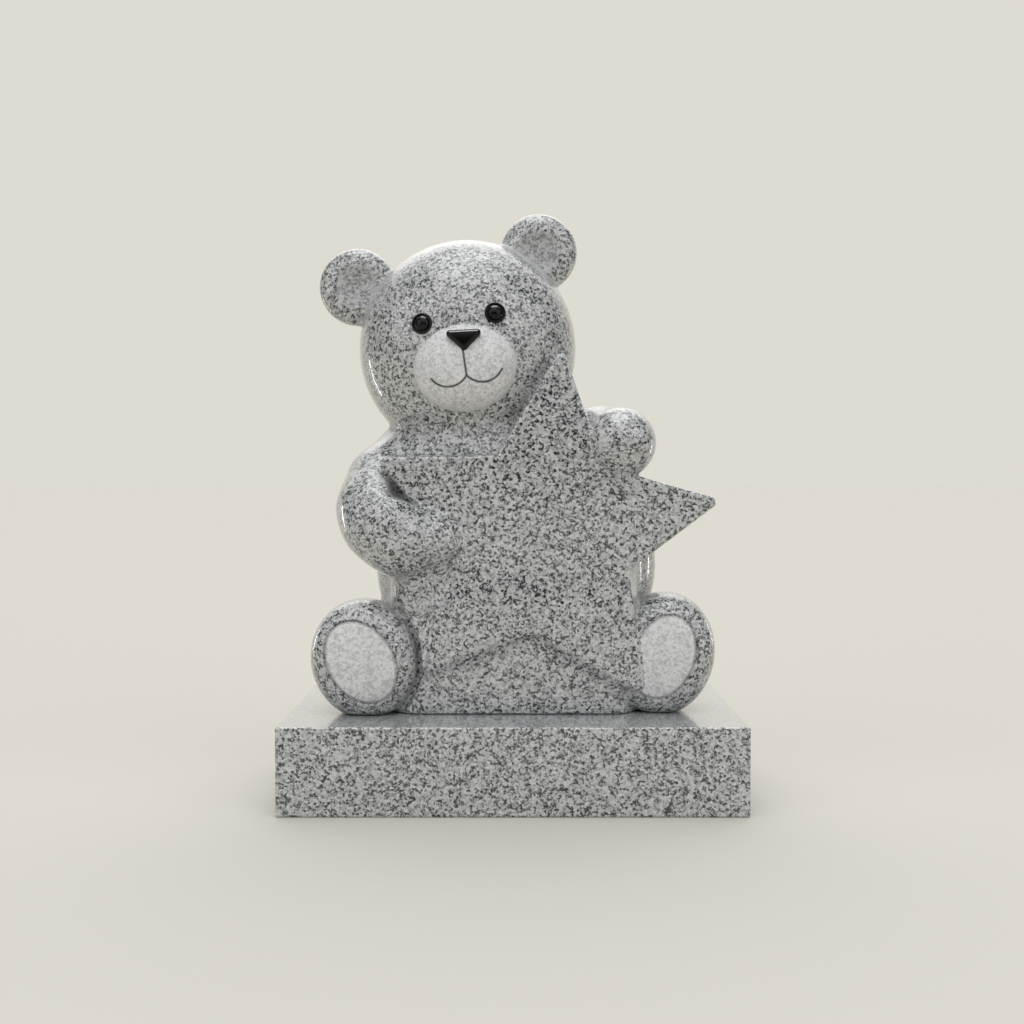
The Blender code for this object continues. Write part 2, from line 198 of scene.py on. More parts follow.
least = tree.nodes.new("ShaderNodeValue").outputs[0]
least.default_value = ROOM_DARK
cool = total_of([least, *(swell(*glow) for glow in OTHER_GLOWS)], "ShaderNodeMath")
room = [scaled_colour(COOL_LIGHT, cool), scaled_colour(WARM_LIGHT, swell(*BACK_GLOW))]
seen_or_lit = tree.nodes.new("ShaderNodeMix")
seen_or_lit.data_type = "RGBA"
seen_or_lit.inputs[7].default_value = SEEN_LIGHT
tree.links.new(tree.nodes.new("ShaderNodeLightPath").outputs["Is Camera Ray"], seen_or_lit.inputs["Factor"])
tree.links.new(total_of(room, "ShaderNodeVectorMath"), seen_or_lit.inputs[6])
tree.links.new(seen_or_lit.outputs[2], background.inputs["Color"])
bpy.context.scene.view_settings.view_transform = "Standard"
print("the room has", len(OTHER_GLOWS) + 1, "glows")

# %% [markdown]
# Two narrow strips of light stand beside the stone, a little behind it. Each draws the thin white line that
# runs down the bear's cheek, arm and flank, where the polished curve turns towards it. They only show in
# polish, so they leave no pools of light on the floor.

# %% The two strips
BEAR_MIDDLE = Vector((0, 0, 0.38))
STRIP_PLACE, STRIP_SIZE, STRIP_WATTS = (0.96, 0.34, 0.31), (0.016, 0.38), 0.55

for name, side in (("left_strip", -1), ("right_strip", 1)):
    light = bpy.data.lights.new(name, "AREA")
    light.shape = "RECTANGLE"
    light.size, light.size_y = STRIP_SIZE
    light.energy = STRIP_WATTS
    lamp = bpy.data.objects.new(name, light)
    lamp.location = (side * STRIP_PLACE[0], *STRIP_PLACE[1:])
    lamp.visible_diffuse = lamp.visible_camera = False
    lamp.rotation_euler = (BEAR_MIDDLE - lamp.location).to_track_quat("-Z", "Y").to_euler()
    bpy.context.scene.collection.objects.link(lamp)
    radiance = STRIP_WATTS / (pi * STRIP_SIZE[0] * STRIP_SIZE[1])
    print(name, "is", round(radiance, 1), "times as bright as white")

# %% [markdown]
# The bear is one block: ears, muzzle, arms, feet and star run into each other, softly where the carver rubbed
# the stone down and sharply where a chisel stopped. Subdivision surfaces would need a cage drawn by hand for
# every such meeting. A distance field needs none. It is a formula that says, for any point, how far it is
# outside the stone, or inside it where the number is negative. Simple forms have simple formulas, and two are
# melted together by a smooth minimum. The mesh is then the skin where the distance is nothing.

# %% Formulas for simple forms
def length(vectors):
    return np.sqrt((vectors * vectors).sum(-1))


def rolled(p, centre, roll):
    """Offsets from a centre, measured on axes that lean anticlockwise by the roll."""
    d = p - np.array(centre)
    c, s = cos(radians(roll)), sin(radians(roll))
    return np.stack((d[..., 0] * c + d[..., 2] * s, d[..., 1], d[..., 2] * c - d[..., 0] * s), -1)


def egg(p, centre, radii, roll=0):
    """An ellipsoid."""
    q = rolled(p, centre, roll) / np.array(radii)
    reach = length(q)
    return reach * (reach - 1) / np.maximum(length(q / np.array(radii)), 1e-6)


def biscuit(p, centre, radii, flatness, roll=0):
    """An ellipsoid whose front and back are squared off, as on an ear or the sole of a foot."""
    q = rolled(p, centre, roll) / np.array(radii)
    across = np.maximum(np.hypot(q[..., 0], q[..., 2]), 1e-6)
    along = np.maximum(np.abs(q[..., 1]), 1e-6)
    reach = (across**flatness + along**flatness) ** (1 / flatness)
    sides = np.hypot(q[..., 0] / radii[0], q[..., 2] / radii[2]) / across
    slope = np.hypot(across ** (flatness - 1) * sides, along ** (flatness - 1) / radii[1])
    return (reach - 1) / (slope * reach ** (1 - flatness))


def block(p, low, high, rounding):
    """A box between two corners, with rounded edges."""
    low, high = np.array(low), np.array(high)
    q = np.abs(p - (low + high) / 2) - (high - low) / 2 + rounding
    return length(np.maximum(q, 0)) + np.minimum(q.max(-1), 0) - rounding


def melt(a, b, width):
    """Two forms as one, with a soft hollow where they meet. The width is how far the softness reaches."""
    share = np.clip(0.5 + 0.5 * (b - a) / width, 0, 1)
    return b + (a - b) * share - width * share * (1 - share)


def limb(p, stations, width=8):
    """A rounded limb through balls (x, y, z, radius)."""
    skin = None
    for (*start, r0), (*end, r1) in zip(stations, stations[1:]):
        start, way = np.array(start), np.array(end) - np.array(start)
        share = np.clip(((p - start) @ way) / (way @ way), 0, 1)
        piece = length(p - start - share[..., None] * way) - (r0 + share * (r1 - r0))
        skin = piece if skin is None else melt(skin, piece, width)
    return skin


print("a ball of radius 50 seen from 80 away:", egg(np.array([[80.0, 0, 0]]), (0, 0, 0), (50, 50, 50)))

# %% [markdown]
# The head is a flattened ball that leans a little to the viewer's left, and the face leans with it. The
# muzzle is a smaller egg set into its front. Each ear is a thick disc with a shallow cup scooped from its
# front, which is a ball taken away. Taking away is the smooth minimum turned inside out.

# %% Head, muzzle and ears
HEAD_CENTRE, HEAD_RADII, HEAD_ROLL = (-55.6, 12.6, 437.1), (133.3, 100, 133.3), 8.2
MUZZLE_PLACE, MUZZLE_RADII = (-4, -82, -27.5), (60.5, 38, 52.5)
EAR_CENTRES = ((-192, 22, 514), (32, 22, 556.5))
EAR_RADII, EAR_FLATNESS = (47.5, 24, 47.5), 2.6
CUP_RIM_SOFTNESS = 2.5
CUP_RADIUS, CUP_DEPTH, CUP_SHIFT = 30, 9, 4


def face_point(right, up, y):
    """A point of the face, from the head's own right and up, and y from the head's centre."""
    c, s = cos(radians(HEAD_ROLL)), sin(radians(HEAD_ROLL))
    x0, y0, z0 = HEAD_CENTRE
    return np.array([x0 + right * c - up * s, y0 + y, z0 + right * s + up * c])


def carve(a, b, width):
    """Form a with form b taken away."""
    return -melt(-a, b, width)


def cup_ball(centre):
    """Where the ball that scoops out an ear's cup has its middle, and its radius."""
    radius = (CUP_RADIUS**2 + CUP_DEPTH**2) / (2 * CUP_DEPTH)
    inwards = np.array([HEAD_CENTRE[0] - centre[0], 0, HEAD_CENTRE[2] - centre[2]])
    middle = np.array(centre) + CUP_SHIFT * inwards / np.linalg.norm(inwards)
    middle[1] += CUP_DEPTH - EAR_RADII[1] - radius
    return middle, radius


def ear(p, centre):
    middle, radius = cup_ball(centre)
    disc = biscuit(p, centre, EAR_RADII, EAR_FLATNESS)
    return carve(disc, length(p - middle) - radius, CUP_RIM_SOFTNESS)


def muzzle(p):
    right, y, up = MUZZLE_PLACE
    return egg(p, face_point(right, up, y), MUZZLE_RADII, HEAD_ROLL)


print("the muzzle's middle is", np.round(face_point(*MUZZLE_PLACE[::2], MUZZLE_PLACE[1]), 1))

# %% [markdown]
# Below the head come the trunk, two arms that hug the star from both sides, and short legs that spread to the
# sides and end in big feet with their soles to the front. The left arm is folded in front of the star, and a
# deep pocket stays open between them. Of the right one only the round paw shows, over the star's edge.

# %% Trunk, arms, legs and feet
TORSO = ((4, 25.6, 172), (174, 90, 166))
CHEST = ((-45, -2.4, 280), (115, 72, 95))
SEAT = ((4, 31, 60), (158, 83, 84))
BELLY_BLOCK = ((-146, -76.5, -40), (148, 70, 250), 36)
LEFT_ARM = (
    (-128, 18, 301, 50),
    (-155, -20, 270.5, 47),
    (-165, -50, 243, 44.5),
    (-154, -66, 225, 47),
    (-132, -68, 207.5, 45.5),
    (-92, -68, 208, 38.5),
)
RIGHT_ARM = ((75, 28, 312, 56), (105, -12, 316, 50), (127, -63, 320, 46))
LEGS = (
    ((-170, -18, 62, 58), (-140, 20, 60, 64), (-96, 46, 62, 66)),
    ((172, -18, 63, 58), (142, 20, 60, 64), (102, 46, 62, 66)),
)
FEET = (((-176, -53, 64), (63.5, 45, 71.5), 12), ((179.5, -38, 68), (62, 44, 74), -12))
FOOT_FLATNESS = 3.2
SEAT_MELT, TRUNK_MELT, ARM_MELT = 16, 14, 12
# A joint as soft as this one thickens the arm by the swelling, which is taken off again.
ARM_JOINT_WIDTH, ARM_SWELLING = 20, 4
# The pocket between the left arm and the star's edge: (x, z, radius), and how deep it goes for its width.
POCKET = ((-151, 290, 2), (-132, 266, 10.5), (-112, 246, 3))
POCKET_DEPTHS, POCKET_SOFTNESS = 1.9, 5


def trunk(p):
    skin = melt(egg(p, *TORSO), egg(p, *SEAT), SEAT_MELT)
    skin = melt(skin, egg(p, *CHEST), TRUNK_MELT)
    skin = melt(skin, block(p, *BELLY_BLOCK), TRUNK_MELT)
    for leg in LEGS:
        skin = melt(skin, limb(p, leg), TRUNK_MELT)
    for arm in (LEFT_ARM, RIGHT_ARM):
        skin = melt(skin, limb(p, arm, ARM_JOINT_WIDTH) + ARM_SWELLING, ARM_MELT)
    return carve(skin, pocket(p), POCKET_SOFTNESS)


def pocket(p):
    """A limb of nothing along the star's edge, centred on the star's front."""
    flattened = np.stack((p[..., 0], (p[..., 1] - STAR_FRONT) / POCKET_DEPTHS, p[..., 2]), -1)
    return limb(flattened, [(x, 0, z, radius) for x, z, radius in POCKET])


def foot(p, centre, radii, lean):
    return biscuit(p, centre, radii, FOOT_FLATNESS, lean)


print("the left arm runs through", len(LEFT_ARM), "balls")

# %% [markdown]
# The star is a thick plate with five unequal points, as a mason would saw it: straight sides, rounded points
# and an eased edge front and back. Its distance is worked out on the flat first, from the nearest of its ten
# sides, and then the plate's thickness is added. A point is rounded by drawing the star smaller and letting
# its skin stand off by the radius.

# %% The star
STAR_CENTRE, STAR_FRONT, STAR_THICKNESS = (37.5, 210), -82.4, 56
STAR_EASE, STAR_POINT_RADIUS = 4.5, 7
STAR_TIPS = ((84.8, 224), (11.7, 213), (-58.4, 219), (-132.6, 217), (155, 220))
STAR_NOTCHES = ((50.5, 107), (-21.5, 107), (-97.5, 112), (-167, 107), (120.5, 111))


def star_corners():
    """The star's ten corners, anticlockwise, drawn smaller by the radius of its points."""
    turns = sorted((angle % 360, reach) for angle, reach in STAR_TIPS + STAR_NOTCHES)
    corners = [np.array([reach * cos(radians(angle)), reach * sin(radians(angle))]) for angle, reach in turns]
    inset = []
    for index, corner in enumerate(corners):
        into = corner - corners[index - 1]
        out = corners[(index + 1) % len(corners)] - corner
        normals = [np.array([-side[1], side[0]]) / np.linalg.norm(side) for side in (into, out)]
        inset.append(corner + np.linalg.solve(np.array(normals), np.full(2, STAR_POINT_RADIUS)))
    return np.array(inset) + np.array(STAR_CENTRE)


def star_outline(x, z):
    """How far a point is outside the star's outline, on the flat."""
    corners = star_corners()
    nearest, inside = np.full(x.shape, np.inf), np.zeros(x.shape, bool)
    for (ax, az), (bx, bz) in zip(corners, np.roll(corners, -1, 0)):
        ex, ez, wx, wz = bx - ax, bz - az, x - ax, z - az
        share = np.clip((wx * ex + wz * ez) / (ex * ex + ez * ez), 0, 1)
        nearest = np.minimum(nearest, (wx - ex * share) ** 2 + (wz - ez * share) ** 2)
        crosses = (z >= az) != (z >= bz)
        inside ^= crosses & ((ex * wz > ez * wx) == (ez > 0))
    return np.where(inside, -1, 1) * np.sqrt(nearest) - STAR_POINT_RADIUS


def star(p):
    side = star_outline(p[..., 0], p[..., 2]) + STAR_EASE
    middle = STAR_FRONT + STAR_THICKNESS / 2
    face = np.abs(p[..., 1] - middle) - STAR_THICKNESS / 2 + STAR_EASE
    outside = np.hypot(np.maximum(side, 0), np.maximum(face, 0))
    return outside + np.minimum(np.maximum(side, face), 0) - STAR_EASE


print("star corners", np.round(star_corners(), 1).tolist())

# %% [markdown]
# The mouth is three engraved lines: one down from the nose, and an arc to each side. A ring is engraved round
# each sole. They are drawn on the flat, as distances from an arc, a straight line and an oval, and the
# chisel's groove is added to the stone's distance along them. The same distances say later where the mesh has
# to be fine and where the groove's colour is darkened: as dark paint and painted shade in the mouth, and as
# painted shade in the rings.

# %% Engraved lines
MOUTH_PLACE, SMILE_CENTRE, SMILE_START, SMILE_END = (-3.3, -40.6), (19.8, 14.5), -143.8, -30.2
MOUTH_DROP = 36.7
SOLES = (((-177, 64), 32, (0.6, 0.71)), ((177, 68), -21, (0.576, 0.685)))
MOUTH_WIDTH, MOUTH_DEPTH = 3.0, 1.7
SOLE_RING_WIDTH, SOLE_RING_DEPTH = 4.6, 2.0
FACE_ONLY = -60  # the mouth lies in front of this y
STAR_COVERS = 4  # how far beside its outline the star still hides a sole
FAR_AWAY = 99
GROOVE_FLOOR, GROOVE_WALL = 0.1, 0.48  # as shares of a groove's width


def arc_distance(u, v):
    """How far a point is from the smile's arc on the right side."""
    radius = sqrt(SMILE_CENTRE[0] ** 2 + SMILE_CENTRE[1] ** 2)
    middle, half = radians((SMILE_START + SMILE_END) / 2), radians((SMILE_END - SMILE_START) / 2)
    u, v = u - SMILE_CENTRE[0], v - SMILE_CENTRE[1]
    along = u * cos(middle) + v * sin(middle)
    aside = np.abs(v * cos(middle) - u * sin(middle))
    beyond = np.hypot(along - radius * cos(half), aside - radius * sin(half))
    return np.where(np.arctan2(aside, along) < half, np.abs(np.hypot(along, aside) - radius), beyond)


def mouth_distance(p):
    q = rolled(p, HEAD_CENTRE, HEAD_ROLL)
    u, v = q[..., 0] - MOUTH_PLACE[0], q[..., 2] - MOUTH_PLACE[1]
    drop = np.hypot(u, v - np.clip(v, 0, MOUTH_DROP))
    lines = np.minimum(drop, np.minimum(arc_distance(u, v), arc_distance(-u, v)))
    return np.where(p[..., 1] < FACE_ONLY, lines, FAR_AWAY)


def sole_distance(p, side):
    """How far a point is outside the oval of a sole, seen from the front."""
    (x, z), lean, shares = SOLES[side]
    centre, radii, _ = FEET[side]
    axes = np.array([shares[0] * radii[0], shares[1] * radii[2]])
    q = rolled(p, (x, 0, z), lean)[..., ::2] / axes
    reach = length(q)
    distance = reach * (reach - 1) / np.maximum(length(q / axes), 1e-6)
    in_view = (p[..., 1] < centre[1]) & (star_outline(p[..., 0], p[..., 2]) > STAR_COVERS)
    return np.where(in_view, distance, FAR_AWAY)


def sole_ring_distance(p):
    return np.minimum(np.abs(sole_distance(p, 0)), np.abs(sole_distance(p, 1)))


def groove(distance, width):
    """The share of a groove's depth at a distance from its line: 1 along it, and 0 beside it."""
    share = np.clip((distance / width - GROOVE_FLOOR) / GROOVE_WALL, 0, 1)
    return 1 - share * share * (3 - 2 * share)


def engraving(p):
    """How deep the stone is cut away at a point."""
    mouth = MOUTH_DEPTH * groove(mouth_distance(p), MOUTH_WIDTH)
    return mouth + SOLE_RING_DEPTH * groove(sole_ring_distance(p), SOLE_RING_WIDTH)


print("the mouth's depth in its middle is", engraving(face_point(*MOUTH_PLACE, -120)[None]))

# %% [markdown]
# Now all of it is put together in the order that the carver would finish it, with the width of each meeting:
# wide where a thumb could rub along it, narrow at the muzzle and at the star. Only below, where the star lies
# on the belly, is its edge rubbed away softly. A gap is cut between the left foot's rim and the star. The
# underside is cut flat.

# %% The whole figure
HEAD_MELT, MUZZLE_MELT, EAR_MELT, LEFT_FOOT_MELT, RIGHT_FOOT_MELT = 9, 2, 7, 4, 5
STAR_MELT_HEIGHTS, STAR_MELT_WIDTHS = (130, 185), (18, 4)
FOOT_GAP, FOOT_GAP_FLOOR, FOOT_GAP_SOFTNESS = 7, -66, 5  # how wide it is, and the y that it reaches
UNDERSIDE_EASE = 3


def uncut_figure(p):
    skin = melt(trunk(p), egg(p, HEAD_CENTRE, HEAD_RADII), HEAD_MELT)
    skin = melt(skin, star(p), np.interp(p[..., 2], STAR_MELT_HEIGHTS, STAR_MELT_WIDTHS))
    skin = melt(skin, muzzle(p), MUZZLE_MELT)
    for centre in EAR_CENTRES:
        skin = melt(skin, ear(p, centre), EAR_MELT)
    left_foot, right_foot = (foot(p, *parts) for parts in FEET)
    gap = np.maximum(left_foot - FOOT_GAP, p[..., 1] - FOOT_GAP_FLOOR)
    skin = carve(skin, gap, FOOT_GAP_SOFTNESS)
    skin = melt(melt(skin, left_foot, LEFT_FOOT_MELT), right_foot, RIGHT_FOOT_MELT)
    return carve(skin, p[..., 2], UNDERSIDE_EASE)


def figure(p):
    return uncut_figure(p) + engraving(p)


print("distance at the middle of the star's face", figure(np.array([[37.5, STAR_FRONT, 210.0]])))

# %% [markdown]
# OpenVDB, which comes with Blender, wraps a skin of quads round a field that is sampled on a grid. The grid's
# step is a compromise: about four units give an even mesh that shows every form, and the fine lines get their
# own density in the next step.

# %% Wrap the skin
GRID_STEP = 4.2
MARGIN = 3


def wrapped_skin():
    low = (bear_low - ORIGIN) / UNIT - MARGIN * GRID_STEP
    high = (bear_high - ORIGIN) / UNIT + MARGIN * GRID_STEP
    x, y, z = (np.arange(a, b, GRID_STEP, dtype=np.float32) for a, b in zip(low, high))
    field = np.empty((len(x), len(y), len(z)), np.float32)
    slab = np.stack(np.meshgrid(x[:1], y, z, indexing="ij"), -1)[0]
    for index, place in enumerate(x):
        slab[..., 0] = place
        field[index] = figure(slab)
    grid = openvdb.FloatGrid(float(field.max()))
    grid.copyFromArray(field)
    points, quads = grid.convertToQuads(isovalue=0)
    return points * GRID_STEP + low, quads


skin_points, skin_quads = wrapped_skin()
print("skin of", len(skin_points), "points and", len(skin_quads), "quads")

# %% [markdown]
# Edges near an engraved line, round the muzzle, at the cups' rims and at the star's edge are split in halves,
# again and again in ever narrower bands. So the mesh is dense only where the stone has fine form.

# %% Split the mesh where the form is fine
def crease_distance(p):
    """Nearness to the meeting of muzzle and head and to the rims of the ears' cups."""
    nearest = np.abs(muzzle(p) - egg(p, HEAD_CENTRE, HEAD_RADII))
    for centre in EAR_CENTRES:
        middle, radius = cup_ball(centre)
        disc = np.abs(biscuit(p, centre, EAR_RADII, EAR_FLATNESS))
        rim = np.maximum(disc, np.abs(length(p - middle) - radius))
        nearest = np.minimum(nearest, rim)
    return nearest


def star_edge_distance(p):
    """Nearness to the eased edge of the star's front."""
    side = np.abs(star_outline(p[..., 0], p[..., 2]))
    return np.maximum(side, np.abs(p[..., 1] - STAR_FRONT) * 0.6)


def split_near(mesh, nearness, band):
    """Splits each edge whose two ends are within the band."""
    points = np.array([vertex.co[:] for vertex in mesh.verts])
    close = nearness(points) < band
    mesh.verts.index_update()
    edges = [edge for edge in mesh.edges if close[edge.verts[0].index] and close[edge.verts[1].index]]
    bmesh.ops.subdivide_edges(mesh, edges=edges, cuts=1, use_grid_fill=True)
    many_sided = [face for face in mesh.faces if len(face.verts) > 4]
    bmesh.ops.triangulate(mesh, faces=many_sided)
    return len(edges)


skin = bmesh.new()
for point in skin_points:
    skin.verts.new(point)
skin.verts.ensure_lookup_table()
for quad in skin_quads:
    skin.faces.new([skin.verts[index] for index in quad])
FINE_BANDS = (
    (star_edge_distance, (9, 5)),
    (crease_distance, (6, 3)),
    (sole_ring_distance, (7, 4.2)),
    (mouth_distance, (7, 4, 2.4)),
)
for nearness, bands in FINE_BANDS:
    for band in bands:
        print(nearness.__name__, band, "splits", split_near(skin, nearness, band), "edges")

# %% [markdown]
# The skin's points are near the surface, not on it. A few steps downhill along the field's slope put them on
# it. The slope is also the exact direction in which the polished stone faces, so it is given to Blender as
# the mesh's own normals, and the reflections run smooth whatever the faces' shapes are.

# %% Pull the points to the surface
SLOPE_STEP = 0.2
DOWNHILL_STEPS, LONGEST_STRIDE, LEAST_STEEPNESS = 4, 1, 0.04


def slope(p):
    """Which way the stone's distance grows, and how fast."""
    parts = []
    for axis in range(3):
        step = np.zeros(3)
        step[axis] = SLOPE_STEP
        parts.append((figure(p + step) - figure(p - step)) / (2 * SLOPE_STEP))
    return np.stack(parts, -1)


points = np.array([vertex.co[:] for vertex in skin.verts])
for _ in range(DOWNHILL_STEPS):
    rise = slope(points)
    steepness = np.maximum((rise * rise).sum(-1), LEAST_STEEPNESS)
    stride = np.clip(figure(points), -LONGEST_STRIDE, LONGEST_STRIDE) / steepness
    points -= stride[:, None] * rise
facing = slope(points)
facing /= length(facing)[:, None]
print("largest distance left", round(float(np.abs(figure(points)).max()), 3), "units")

# %% [markdown]
# Two finishes share the block. Muzzle, soles and the ears' cups are honed, matt and pale, and the rest is
# polished. In narrow corners no polishing pad reaches the stone, so it stays duller there. Both facts, and
# where the grooves' colour is darkened with painted shade, are written on the mesh's points, for the material
# to read.

# %% Write down which stone is honed
REACH = 7.0
# Where the finish changes, as (start, end) in units from the muzzle's, the soles' and the cups' edges.
MUZZLE_EDGE, SOLE_EDGE, CUP_EDGE, CUP_RIM = (-0.4, 0.6), (-0.5, 0.5), (0, 0.8), 1.2


def soft_step(value, start, end):
    """A share that rises softly from 0 at the start to 1 at the end."""
    share = np.clip((value - start) / (end - start), 0, 1)
    return share * share * (3 - 2 * share)


def honed_share(p):
    head_above_muzzle = egg(p, HEAD_CENTRE, HEAD_RADII) - muzzle(p)
    share = soft_step(head_above_muzzle, *MUZZLE_EDGE) * (p[..., 1] < FACE_ONLY)
    for side in range(2):
        share = np.maximum(share, soft_step(-sole_distance(p, side), *SOLE_EDGE))
    return share


def cup_share(p):
    share = np.zeros(len(p))
    for centre in EAR_CENTRES:
        middle, radius = cup_ball(centre)
        near = length(p - np.array(centre)) < EAR_RADII[0]
        share = np.maximum(share, near * soft_step(radius + CUP_RIM - length(p - middle), *CUP_EDGE))
    return share


honed, cupped = honed_share(points), cup_share(points)
# The grooves' shares, which later darken their colour: dark paint and painted shade in the mouth, painted
# shade in the soles' rings.
mouth_cut = groove(mouth_distance(points), MOUTH_WIDTH)
sole_cut = groove(sole_ring_distance(points), SOLE_RING_WIDTH)
tight = np.clip(1 - figure(points + facing * REACH) / REACH, 0, 1)
print("honed points", int((honed > 0.5).sum()), "in the mouth", int((mouth_cut > 0.5).sum()))

# %% [markdown]
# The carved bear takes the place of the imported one. Its points go from the drawing's units to metres, the
# true directions go in as normals, and the shares as attributes. A skin whose volume counts as negative would
# be inside out, and is turned round.

# %% The carved bear
def carved_mesh():
    for vertex, point in zip(skin.verts, placed(points)):
        vertex.co = point
    if skin.calc_volume(signed=True) < 0:
        bmesh.ops.reverse_faces(skin, faces=skin.faces)
    mesh = bpy.data.meshes.new("carved_bear")
    skin.to_mesh(mesh)
    mesh.shade_smooth()
    mesh.normals_split_custom_set_from_vertices(facing.tolist())
    names = ("honed", "cup", "mouth", "sole_ring", "tight")
    for name, values in zip(names, (honed, cupped, mouth_cut, sole_cut, tight)):
        layer = mesh.attributes.new(name, "FLOAT", "POINT")
        layer.data.foreach_set("value", values.astype(np.float32))
    return mesh


bear = new_object("carved_bear", carved_mesh())
skin.free()
bear_triangles = sum(len(face.vertices) - 2 for face in bear.data.polygons)
print("the bear has", bear_triangles, "triangles")
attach(bear, "root")
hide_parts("bear")

# %% [markdown]
# The eyes and the nose are separate pieces that sit square on the head's and the muzzle's curve. The place of
# each is where the egg is pierced by a line from the front, and the egg's slope there says which way the
# piece faces.

# %% Seats on the face
EYE_RADIUS, EYE_SINK = 12.5, 5.7
EYES_MIDDLE, EYE_SPREAD = (-3.7, 28.1), 43


def on_egg(right, up, centre, radii):
    """Where the front of an egg of the head lies at this right and up, and which way it faces."""
    across, along = (right - centre[0]) / radii[0], (up - centre[2]) / radii[2]
    depth = -sqrt(1 - across**2 - along**2)
    point = face_point(right, up, centre[1] + depth * radii[1])
    slant = face_point(across / radii[0], along / radii[2], depth / radii[1]) - np.array(HEAD_CENTRE)
    return point, Vector(slant).normalized()


def seat_frame(point, out, lean=HEAD_ROLL):
    """A frame at a point of the face: z out of the stone, y as near to the leaning up as it goes."""
    up = Vector((-sin(radians(lean)), 0, cos(radians(lean))))
    side = up.cross(out).normalized()
    turn = Matrix((side, out.cross(side), out)).transposed().to_4x4()
    return Matrix.Translation(placed(point)) @ turn @ Matrix.Scale(UNIT, 4)


left_seat = seat_frame(*on_egg(EYES_MIDDLE[0] - EYE_SPREAD, EYES_MIDDLE[1], (0, 0, 0), HEAD_RADII))
print("the left eye sits at", [round(part, 4) for part in left_seat.translation])

# %% [markdown]
# The eyes are turned buttons of black granite: a low ring, a narrow groove and a dome. Each one is a profile
# spun round its own axis, which is how a lathe would make it.

# %% The eyes
EYE_SIDES, DOME_STEPS = 72, 16
RING_HEIGHT, RING_EASE, EYE_GROOVE = 2.0, 0.8, 1.0
DOME_RADIUS, DOME_HEIGHT = 9.25, 6.5


def eye_profile():
    """(radius, height) from the plug's foot, over the ring and the groove, to the top of the dome."""
    arc = [radians(90 * step / 8) for step in range(9)]
    points = [(EYE_RADIUS, -EYE_SINK), (EYE_RADIUS, RING_HEIGHT - RING_EASE)]
    corner = EYE_RADIUS - RING_EASE
    points += [(corner + RING_EASE * cos(a), RING_HEIGHT - RING_EASE * (1 - sin(a))) for a in arc[1:]]
    inner = DOME_RADIUS + EYE_GROOVE + RING_EASE
    points += [(inner - RING_EASE * sin(a), RING_HEIGHT - RING_EASE * (1 - cos(a))) for a in arc]
    floor_height = RING_HEIGHT - EYE_GROOVE - RING_EASE
    points += [(DOME_RADIUS + EYE_GROOVE, floor_height), (DOME_RADIUS, floor_height)]
    rise = DOME_HEIGHT - floor_height
    dome = [radians(90 * step / DOME_STEPS) for step in range(1, DOME_STEPS)]
    return points + [(DOME_RADIUS * cos(a), floor_height + rise * sin(a)) for a in dome]


def close_rings(mesh, rings):
    """A closed skin through rings of points, with a face at each end."""
    rows = [[mesh.verts.new(point) for point in ring] for ring in rings]
    for low, high in zip(rows, rows[1:]):
        for start in range(len(low)):
            after = (start + 1) % len(low)
            mesh.faces.new((low[start], low[after], high[after], high[start]))
    mesh.faces.new(list(reversed(rows[0])))
    mesh.faces.new(rows[-1])


def smooth_but_edges(made, degrees=30):
    """Smooth shading that keeps every edge sharper than this angle."""
    made.data.shade_smooth()
    made.data.set_sharp_from_angle(angle=radians(degrees))


eyes = []
for name, side in (("left_eye", -1), ("right_eye", 1)):
    seat = seat_frame(*on_egg(EYES_MIDDLE[0] + side * EYE_SPREAD, EYES_MIDDLE[1], (0, 0, 0), HEAD_RADII))
    turned = bmesh.new()
    angles = [2 * pi * step / EYE_SIDES for step in range(EYE_SIDES)]
    rings = [[seat @ Vector((r * cos(a), r * sin(a), h)) for a in angles] for r, h in eye_profile()]
    close_rings(turned, rings)
    eye = new_object("turned_" + name, turned)
    smooth_but_edges(eye)
    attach(eye, "root")
    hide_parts(name)
    eyes.append(eye)
    print(eye.name, len(eye.data.polygons), "faces")

# %% [markdown]
# The nose is cut like a gem from the same black granite: a rounded triangle with a short upright wall, a wide
# slanting bevel that catches the light from above, and a nearly flat face. It is a stack of outlines that
# shrink as they rise.

# %% The nose
NOSE_PLACE, NOSE_SIZE, NOSE_CORNER = (-0.7, -0.4), (39.5, 24), 3.8
NOSE_TILT, NOSE_ROLL = 9, 3
NOSE_LEVELS = ((0, -5.7), (0, 2.4), (0.1, 2.9), (0.35, 3.4), (3.1, 6.2), (3.5, 6.5), (4.2, 6.7))


def nose_outline(inset, steps=9):
    """The rounded triangle, flat above and pointed below, moved inwards by the inset."""
    corner = max(NOSE_CORNER - inset, 0.6)
    across, up = NOSE_SIZE[0] / 2 - NOSE_CORNER, NOSE_SIZE[1] / 2 - NOSE_CORNER
    shrink = 1 - max(inset - NOSE_CORNER + 0.6, 0) / up
    middles = [Vector(place) * shrink for place in ((-across, up), (0, -up), (across, up))]
    outline = []
    for index, middle in enumerate(middles):
        before, after = middle - middles[index - 1], middles[(index + 1) % 3] - middle
        start, end = Vector((before.y, -before.x)), Vector((after.y, -after.x))
        for step in range(steps):
            outline.append(middle + start.slerp(end, step / (steps - 1)).normalized() * corner)
    return outline


nose_spot, _ = on_egg(*NOSE_PLACE, MUZZLE_PLACE, MUZZLE_RADII)
nose_front = Vector((0, -cos(radians(NOSE_TILT)), sin(radians(NOSE_TILT))))
nose_seat = seat_frame(nose_spot, nose_front, NOSE_ROLL)
gem = bmesh.new()
levels = [[Vector((*spot, height)) for spot in nose_outline(inset)] for inset, height in NOSE_LEVELS]
close_rings(gem, [[nose_seat @ spot for spot in level] for level in levels])
nose = new_object("cut_nose", gem)
smooth_but_edges(nose, 24)
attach(nose, "root")
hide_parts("nose")
print(nose.name, len(nose.data.polygons), "faces")

